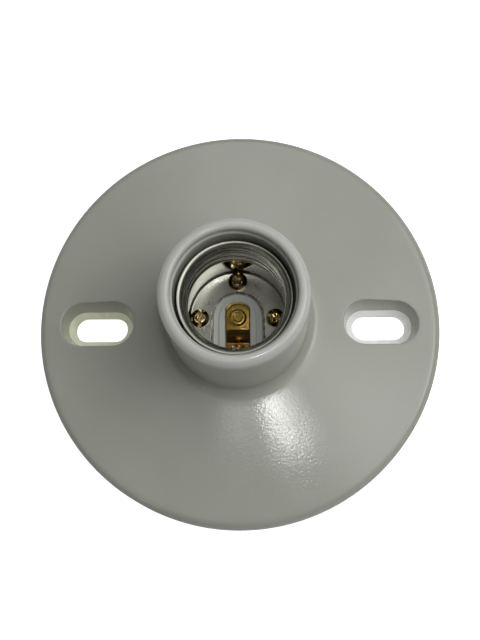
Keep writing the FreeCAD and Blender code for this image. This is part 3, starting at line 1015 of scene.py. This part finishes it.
@made_once("node_groups", "Screw circle")
def screw_circle_tree(name):
    """Places a screw at even steps round the lamp axis."""
    t, start, end = geometry_tree(name, {
        "Screw": "Object", "Count": 3, "Circle radius": 10.3 * MM, "Seat height": 16.0 * MM,
        "First angle": 0.0, "Step angle": math.pi / 2, "Tilt": 0.0, "Twist": 0.0, "Twist step": 0.0})
    value = start.outputs
    number = t.add("GeometryNodeInputIndex").outputs[0]
    angle = t.math("MULTIPLY_ADD", number, value["Step angle"], value["First angle"])
    place = t.vector(t.math("MULTIPLY", t.math("COSINE", angle), value["Circle radius"]),
                     t.math("MULTIPLY", t.math("SINE", angle), value["Circle radius"]), value["Seat height"])
    points = t.add("GeometryNodePoints")
    t.join(value["Count"], points.inputs["Count"])
    t.join(place, points.inputs["Position"])
    rotation = t.add("FunctionNodeEulerToRotation")
    t.join(t.vector(value["Tilt"], 0.0, t.math("MULTIPLY_ADD", number, value["Twist step"], value["Twist"])),
           rotation.inputs[0])
    screw = t.add("GeometryNodeObjectInfo", transform_space="ORIGINAL")
    t.join(value["Screw"], screw.inputs["Object"])
    copies = t.add("GeometryNodeInstanceOnPoints")
    t.join(points.outputs[0], copies.inputs["Points"])
    t.join(screw.outputs["Geometry"], copies.inputs["Instance"])
    t.join(rotation.outputs[0], copies.inputs["Rotation"])
    return finish_tree(t, copies.outputs["Instances"], start, end)


def place_screws(name, prototype, material, **values):
    made = add_object(name, bpy.data.meshes.new(name))
    inputs = {"Screw": prototype, "Material": material, "Count": 1, "Tilt": 0.0, "Twist step": 0.0}
    inputs.update({key.replace("_", " ").capitalize(): value for key, value in values.items()})
    run_tree(made, screw_circle_tree(), inputs)
    smooth(made, 38)
    return dress(made, material)


class LAMPHOLDER_OT_screws(Operator):
    """Place the three shell screws and the contact screw"""
    bl_idname = "lampholder.screws"
    bl_label = "Shell and contact screws"

    def execute(self, context):
        s = settings("screws")
        trio = dict(Count=3, Circle_radius=s.circle_radius, First_angle=0.0, Step_angle=math.pi / 2,
                    Twist=math.radians(68), Twist_step=math.radians(-34))
        single = dict(Circle_radius=s.foot_reach, First_angle=-math.pi / 2, Step_angle=0.0,
                      Twist=math.radians(35))
        for name, low, high, values, nodes in (
                ("shell_screws", SHELL_SCREW_LOW, SHELL_SCREW_HIGH, trio,
                 ("shell_screw_left", "shell_screw_right", "shell_screw_top")),
                ("contact_foot_screw", FOOT_SCREW_LOW, FOOT_SCREW_HIGH, single, ("contact_screw",))):
            seat = high.z - s.head_height
            screw = screw_prototype("screw", s.head_radius, s.head_height, s.shank_radius, seat - low.z,
                                    s.slot_width)
            made = place_screws(name, screw, yellow_plating(), Seat_height=seat, **values)
            remove_object(screw)
            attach(made, HOLDER)
            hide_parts(*nodes)
        return {"FINISHED"}


# ---------------------------------------------------------------- terminals at the back

def plain_piece(node, name, width, material, body):
    """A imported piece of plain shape, copied with its edges broken."""
    made = node_copy(node)
    made.name = name
    soften(made, width, 40)
    smooth(made, 38)
    dress(made, material)
    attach(made, body)
    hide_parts(node)


class LAMPHOLDER_OT_terminals(Operator):
    """Dress the supply terminals and nuts at the back"""
    bl_idname = "lampholder.terminals"
    bl_label = "Terminals and nuts"

    def execute(self, context):
        s = settings("screws")
        steel = plain_metal("Zinc plated steel")
        for side in ("left", "right"):
            plain_piece("shell_nut_" + side, "nut_" + side, 0.12 * MM, steel, HOLDER)
        seat = BINDING_LOW.z + s.binding_head_height
        for side, sign, slot, metal in (
                ("neutral", 1, "terminal_nickel", plain_metal("Nickel plating")),
                ("line", -1, "terminal_gilt", plain_metal("Gilt brass"))):
            plain_piece(side + "_terminal_plate", side + "_plate", 0.1 * MM,
                        plain_metal("Rolled terminal brass"), HOLDER)
            plain_piece(side + "_terminal_washer", side + "_clamp", 0.1 * MM, metal, side + "_washer")
            screw = screw_prototype("binding_screw", s.binding_head_radius, s.binding_head_height,
                                    s.binding_shank_radius, BINDING_HIGH.z - seat, s.slot_width * 1.25)
            made = place_screws(side + "_binding_screw", screw, metal, Circle_radius=s.binding_reach,
                                Seat_height=seat, First_angle=sign * math.pi / 2, Step_angle=0.0,
                                Tilt=math.pi, Twist=math.radians(20 * sign))
            remove_object(screw)
            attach(made, side + "_screw")
            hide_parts(side + "_terminal_screw")
        return {"FINISHED"}


# ---------------------------------------------------------------- shader groups and finishes

def object_noise(t, scale, detail=3.0, roughness=0.55):
    made = t.add("ShaderNodeTexNoise")
    t.join(t.add("ShaderNodeTexCoord").outputs["Object"], made.inputs["Vector"])
    for label, value in (("Scale", scale), ("Detail", detail), ("Roughness", roughness)):
        t.feed(made.inputs[label], value)
    return made.outputs["Fac"]


def object_place(t):
    return t.parts(t.add("ShaderNodeTexCoord").outputs["Object"])


def distance(t, x, y):
    return t.math("SQRT", t.math("ADD", t.math("POWER", x, 2.0), t.math("POWER", y, 2.0)))


def blend_colours(t, share, one, two):
    mix = t.add("ShaderNodeMix", data_type="RGBA")
    for i, value in ((0, share), (6, one), (7, two)):
        t.feed(mix.inputs[i], value)
    return mix.outputs[2]


def blend_values(t, share, one, two):
    mix = t.add("ShaderNodeMix", data_type="FLOAT")
    for i, value in ((0, share), (2, one), (3, two)):
        t.feed(mix.inputs[i], value)
    return mix.outputs[0]


def spread(t, value, low, high, to_low=0.0, to_high=1.0):
    """Share of the way from a low to a high value, kept between its ends."""
    made = t.add("ShaderNodeMapRange")
    t.join(value, made.inputs["Value"])
    for label, number in (("From Min", low), ("From Max", high), ("To Min", to_low), ("To Max", to_high)):
        t.feed(made.inputs[label], number)
    return made.outputs["Result"]


@made_once("node_groups", "Surface tone")
def tone_group(name):
    """Slow change of colour over a surface, from a lighter to a darker tone."""
    t, start, end = new_tree(name, "ShaderNodeTree", {
        "Light": (1.0, 1.0, 1.0, 1.0), "Dark": (0.5, 0.5, 0.5, 1.0), "Scale": 60.0}, {"Colour": "Color"})
    mask = spread(t, object_noise(t, start.outputs["Scale"]), 0.35, 0.65)
    t.join(blend_colours(t, mask, start.outputs["Dark"], start.outputs["Light"]), end.inputs["Colour"])
    return t.tree


@made_once("node_groups", "Handling marks")
def handling_group(name):
    """Roughness and height of fine handling marks: soft smears and a faint grain."""
    t, start, end = new_tree(name, "ShaderNodeTree", {
        "Smooth": 0.2, "Rough": 0.3, "Smear scale": 90.0, "Grain scale": 2500.0},
        {"Roughness": "Float", "Height": "Float"})
    smear = object_noise(t, start.outputs["Smear scale"], 4.0, 0.6)
    grain = object_noise(t, start.outputs["Grain scale"], 2.0, 0.5)
    smooth_value, rough_value = start.outputs["Smooth"], start.outputs["Rough"]
    t.join(spread(t, smear, 0.3, 0.7, smooth_value, rough_value), end.inputs["Roughness"])
    t.join(t.math("MULTIPLY_ADD", grain, 0.4, t.math("MULTIPLY", smear, 0.6)), end.inputs["Height"])
    return t.tree


def use_group(t, tree, **values):
    made = t.add("ShaderNodeGroup", node_tree=tree)
    for name, value in values.items():
        t.feed(made.inputs[name.replace("_", " ")], value)
    return made.outputs


def toned(t, light, dark, scale):
    return use_group(t, tone_group(), Light=light, Dark=dark, Scale=scale)["Colour"]


def marked(t, smooth, rough, smear, grain):
    return use_group(t, handling_group(), Smooth=smooth, Rough=rough, Smear_scale=smear, Grain_scale=grain)


def new_finish(name, metallic=0.0):
    material = bpy.data.materials.new(name)
    material.use_nodes = True
    material.node_tree.nodes.clear()
    t = Tree(material.node_tree)
    shader = t.add("ShaderNodeBsdfPrincipled")
    shader.inputs["Metallic"].default_value = metallic
    t.join(shader.outputs[0], t.add("ShaderNodeOutputMaterial").inputs["Surface"])
    return material, t, shader.inputs


def wire(t, inputs, base, roughness, height, depth):
    """Joins the colour, the roughness and the relief of a finish."""
    bump = t.add("ShaderNodeBump")
    bump.inputs["Distance"].default_value = depth
    t.join(height, bump.inputs["Height"])
    t.join(base, inputs["Base Color"])
    t.join(roughness, inputs["Roughness"])
    t.join(bump.outputs["Normal"], inputs["Normal"])


def rgba(value, factor=1.0):
    return tuple(min(1.0, c * factor) for c in value[:3]) + (1.0,)


def darker(t, base, share):
    return blend_colours(t, share, (0, 0, 0, 1), base)


@made_once("materials", "Glossy moulded resin")
def moulded_resin(name):
    """Paler at the rim, a painted highlight, and paler round the contact, painted light for the socket's
    floor.
    """
    f = settings("finishes")
    material, t, inputs = new_finish(name)
    x, y, z = object_place(t)
    # Painted light: the island round the contact gets a paler colour, in place of the light that reaches the
    # socket's floor.
    within = spread(t, distance(t, x, y), 12.5 * MM, 12.0 * MM)
    on_front = spread(t, z, CONTACT_LOW.z - 1.6 * MM, CONTACT_LOW.z - 1.2 * MM)
    # Painted highlight: the colour turns paler towards the top of the collar, in place of light on the rim.
    rim_highlight_mask = spread(t, z, BODY_HIGH.z - 5 * MM, BODY_HIGH.z - 1.5 * MM)
    tone = toned(t, rgba(f.resin, 1.03), rgba(f.resin, 0.96), 38.0)
    body = blend_colours(t, rim_highlight_mask, tone, rgba(f.rim_painted_highlight))
    base = blend_colours(t, t.math("MULTIPLY", within, on_front), body, rgba(f.island))
    marks = marked(t, smooth=0.08, rough=0.12, smear=70.0, grain=1500.0)
    wire(t, inputs, base, marks["Roughness"], marks["Height"], depth=0.00005)
    inputs["IOR"].default_value = 1.55
    return material


@made_once("materials", "Matt ledge resin")
def ledge_resin_painted_glow(name):
    """Thin ledge with a painted glow: near-white colour and a faint emission paint in the light on the
    ledges.
    """
    f = settings("finishes")
    material, t, inputs = new_finish(name)
    # The ledge colour turns darker and yellower towards the left slot.
    right = spread(t, object_place(t)[0], -10 * MM, 10 * MM)
    light = blend_colours(t, right, rgba(f.left_ledge_colour), rgba(f.ledge))
    base = toned(t, light, darker(t, light, 0.88), 500.0)
    marks = marked(t, smooth=0.5, rough=0.7, smear=400.0, grain=2500.0)
    wire(t, inputs, base, marks["Roughness"], marks["Height"], depth=0.00006)
    # Painted glow: the ledge emits a little light of its own colour, though it is no lamp.
    t.join(base, inputs["Emission Color"])
    inputs["Emission Strength"].default_value = 0.16
    return material


@made_once("materials", "Bright rolled aluminium")
def bright_aluminium(name):
    """Bright on the rolled wall, duller on the punched floor and the lip, and pale along the burr, partly
    bare sheared metal and partly a painted highlight.
    """
    f = settings("finishes")
    material, t, inputs = new_finish(name, metallic=1.0)
    x, y, z = object_place(t)
    wall = marked(t, smooth=0.07, rough=0.12, smear=180.0, grain=1600.0)
    floor = marked(t, smooth=0.25, rough=0.33, smear=350.0, grain=2500.0)
    above = spread(t, z, SHELL_LOW.z + 0.6 * MM, SHELL_LOW.z + 1.4 * MM)
    below = t.math("SUBTRACT", 1.0, above)
    lip = spread(t, z, SHELL_HIGH.z - 1.1 * MM, SHELL_HIGH.z - 0.6 * MM)
    ragged = t.math("MULTIPLY", object_noise(t, 1500.0, 2.0, 0.6), 0.9 * MM)
    away = t.math("SUBTRACT", distance(t, x, t.math("MAXIMUM", y, 0.0)), ragged)
    edge = settings("shell").cutout_radius
    # The pale burr colour is partly the bare sheared metal and partly a painted highlight.
    burr = t.math("MULTIPLY", spread(t, away, edge + 0.1 * MM, edge - 0.2 * MM), below)
    tone = toned(t, rgba(f.aluminium), rgba(f.aluminium, 0.88), 260.0)
    base = blend_colours(t, above, rgba(f.dull_aluminium), tone)
    base = blend_colours(t, lip, base, rgba(f.dull_aluminium))
    base = blend_colours(t, burr, base, (0.97, 0.97, 0.95, 1))
    even = blend_values(t, above, floor["Roughness"], wall["Roughness"])
    worn = t.math("MULTIPLY_ADD", t.math("MAXIMUM", burr, lip), 0.25, even)
    wire(t, inputs, base, worn, t.math("MULTIPLY", floor["Height"], below), depth=0.000004)
    return material


@made_once("materials", "Polished brass strip")
def polished_brass(name):
    """Bright on the tongue, darker brown on the riser and the foot."""
    f = settings("finishes")
    material, t, inputs = new_finish(name, metallic=1.0)
    bright = spread(t, object_place(t)[2], CONTACT_HIGH.z - 2.4 * MM, CONTACT_HIGH.z - 1.2 * MM)
    light = blend_colours(t, bright, rgba(f.lower_brass), rgba(f.brass))
    marks = marked(t, smooth=0.14, rough=0.24, smear=300.0, grain=1500.0)
    base = toned(t, light, darker(t, light, 0.8), 300.0)
    wire(t, inputs, base, marks["Roughness"], marks["Height"], depth=0.000006)
    return material


@made_once("materials", "Yellow zinc plating")
def yellow_plating(name):
    """Yellow with brown patches, as thin plating stains."""
    material, t, inputs = new_finish(name, metallic=1.0)
    base = toned(t, rgba(settings("finishes").plating), (0.27, 0.18, 0.08, 1), 900.0)
    marks = marked(t, smooth=0.05, rough=0.10, smear=500.0, grain=2500.0)
    wire(t, inputs, base, marks["Roughness"], marks["Height"], depth=0.000005)
    return material


# Colour, share of it in the dark tone, least and most roughness, grain scale, depth of the relief.
METALS = {
    "Zinc plated steel": ("steel", 0.8, 0.25, 0.4, 2500.0, 0.00003),
    "Nickel plating": ("nickel", 0.9, 0.15, 0.28, 2500.0, 0.00002),
    "Rolled terminal brass": ("terminal", 0.82, 0.25, 0.4, 2000.0, 0.00003),
    "Gilt brass": ("terminal", 0.9, 0.15, 0.28, 2500.0, 0.00002),
}


def plain_metal(name):
    """One metal of the pieces at the back, made once and found by its name afterwards."""
    if name in bpy.data.materials:
        return bpy.data.materials[name]
    colour_name, dark, smooth_value, rough_value, grain, depth = METALS[name]
    value = getattr(settings("finishes"), colour_name)
    material, t, inputs = new_finish(name, metallic=1.0)
    marks = marked(t, smooth_value, rough_value, 300.0, grain)
    base = toned(t, rgba(value), rgba(value, dark), 300.0)
    wire(t, inputs, base, marks["Roughness"], marks["Height"], depth)
    return material


# ---------------------------------------------------------------- stage

# Azimuth and elevation in degrees, how sharply the glow falls off, and its radiance.
GLOWS = ((0, 50, 30, 3.7), (40, 52, 30, 1.7), (90, 50, 30, 1.5), (-45, 50, 30, 0.5), (0, 73, 90, 1.6),
         (-30, 72, 90, 1.0), (-120, 78, 120, 0.5), (-165, 75, 90, 0.2), (120, 73, 90, 0.3))
DARK_ROOM, BACKDROP = 0.01, 0.9
# Azimuth and elevation in degrees, width and height in metres, and radiance.
LAMPS = {"window": ((-52, 80.7), 0.07, 0.10, 14.0), "curtain": ((-38, 82), 0.14, 0.18, 6.0),
         "front_lamp": ((-105, 83), 0.14, 0.14, 2.2), "back_lamp": ((108, 62), 0.10, 0.03, 7.0),
         "low_left_lamp": ((-125, 32), 0.06, 0.06, 12.0)}
LAMP_TARGET = Vector((0, 0, 15 * MM))
FLOOR_REACH, FLOOR_DROP = 4.0, 0.00005
CAMERA_PLACE = (0.00880, -0.05680, 0.27286)
CAMERA_TURN = (12.387, 1.844, -0.05)
CAMERA_LENS = 53.83


def direction_at(azimuth, elevation):
    a, e = math.radians(azimuth), math.radians(elevation)
    return Vector((math.cos(e) * math.cos(a), math.cos(e) * math.sin(a), math.sin(e)))


def round_light(name, direction, width, height, radiance):
    """Oval lamp a metre away that looks at the lamp holder from an azimuth and an elevation."""
    way = direction_at(*direction)
    light = bpy.data.lights.new(name, "AREA")
    light.shape = "ELLIPSE"
    light.size, light.size_y = width, height
    light.energy = radiance * math.pi * math.pi * width * height / 4
    made = add_object(name, light)
    made.location = LAMP_TARGET + way
    made.rotation_euler = way.to_track_quat("Z", "Y").to_euler()


def soft_sky():
    """Dark room with wide and narrow soft glows, and a plain pale backdrop behind the stage."""
    world = bpy.data.worlds.new("Studio")
    world.use_nodes = True
    t = Tree(world.node_tree)
    way = t.add("ShaderNodeTexCoord").outputs["Generated"]
    total = DARK_ROOM
    for azimuth, elevation, sharpness, radiance in GLOWS:
        facing = t.add("ShaderNodeVectorMath", operation="DOT_PRODUCT")
        t.join(way, facing.inputs[0])
        facing.inputs[1].default_value = direction_at(azimuth, elevation)
        glow = t.math("POWER", t.math("MAXIMUM", facing.outputs["Value"], 0.0), sharpness)
        total = t.math("MULTIPLY_ADD", glow, radiance, total)
    sky = world.node_tree.nodes["Background"].inputs
    seen = t.add("ShaderNodeLightPath").outputs["Is Camera Ray"]
    t.join(blend_values(t, seen, total, BACKDROP), sky["Strength"])
    sky["Color"].default_value = (1, 1, 1, 1)
    return world


class LAMPHOLDER_OT_stage(Operator):
    """Set the pale floor, the soft lights and the camera"""
    bl_idname = "lampholder.stage"
    bl_label = "Stage"

    def execute(self, context):
        scene = context.scene
        skin = Skin()
        skin.face(tuple(skin.ring([(x * FLOOR_REACH, y * FLOOR_REACH, -FLOOR_DROP)
                                   for x, y in SQUARE])))
        floor = add_object("floor", skin.mesh("floor"))
        material, t, inputs = new_finish("Pale floor")
        pale = settings("finishes").floor
        t.join(toned(t, rgba(pale), rgba(pale, 0.98), 4.0), inputs["Base Color"])
        inputs["Roughness"].default_value = 0.8
        inputs["Emission Color"].default_value = (1, 1, 1, 1)
        t.join(t.add("ShaderNodeLightPath").outputs["Is Camera Ray"], inputs["Emission Strength"])
        dress(floor, material)

        scene.world = soft_sky()
        for name, values in LAMPS.items():
            round_light(name, *values)

        lens = bpy.data.cameras.new("camera")
        lens.sensor_width = 36.0
        lens.lens = CAMERA_LENS
        lens.clip_start, lens.clip_end = 0.005, 20.0
        camera = add_object("camera", lens)
        camera.location = CAMERA_PLACE
        camera.rotation_euler = [math.radians(turn) for turn in CAMERA_TURN]
        scene.camera = camera
        scene.view_settings.view_transform = "Standard"
        return {"FINISHED"}


# ---------------------------------------------------------------- panel and registration

BUILD_STEPS = (LAMPHOLDER_OT_body, LAMPHOLDER_OT_shell, LAMPHOLDER_OT_contact, LAMPHOLDER_OT_screws,
               LAMPHOLDER_OT_terminals, LAMPHOLDER_OT_stage)
SETTINGS = {"body": LampHolderBodySizes, "island": LampHolderIslandSizes, "shell": LampHolderShellSizes,
            "contact": LampHolderContactSizes, "screws": LampHolderScrewSizes,
            "finishes": LampHolderFinishes}


class LAMPHOLDER_PT_panel(Panel):
    """Sizes, colours and build steps of the lamp holder"""
    bl_label = "Lamp holder"
    bl_idname = "LAMPHOLDER_PT_panel"
    bl_space_type = "VIEW_3D"
    bl_region_type = "UI"
    bl_category = "Lamp holder"

    def draw(self, context):
        for step in BUILD_STEPS:
            self.layout.operator(step.bl_idname)
        for name, group in SETTINGS.items():
            box = self.layout.box()
            box.label(text=name.capitalize())
            for label in group.__annotations__:
                box.prop(settings(name), label)


CLASSES = (*SETTINGS.values(), *BUILD_STEPS, LAMPHOLDER_PT_panel)


def register():
    for item in CLASSES:
        bpy.utils.register_class(item)
    for name, group in SETTINGS.items():
        setattr(bpy.types.Scene, "lamp_holder_" + name, PointerProperty(type=group))


def unregister():
    for name in SETTINGS:
        delattr(bpy.types.Scene, "lamp_holder_" + name)
    for item in reversed(CLASSES):
        bpy.utils.unregister_class(item)


def main():
    register()
    for step in BUILD_STEPS:
        group, name = step.bl_idname.split(".")
        getattr(getattr(bpy.ops, group), name)()


if __name__ == "__main__":
    main()
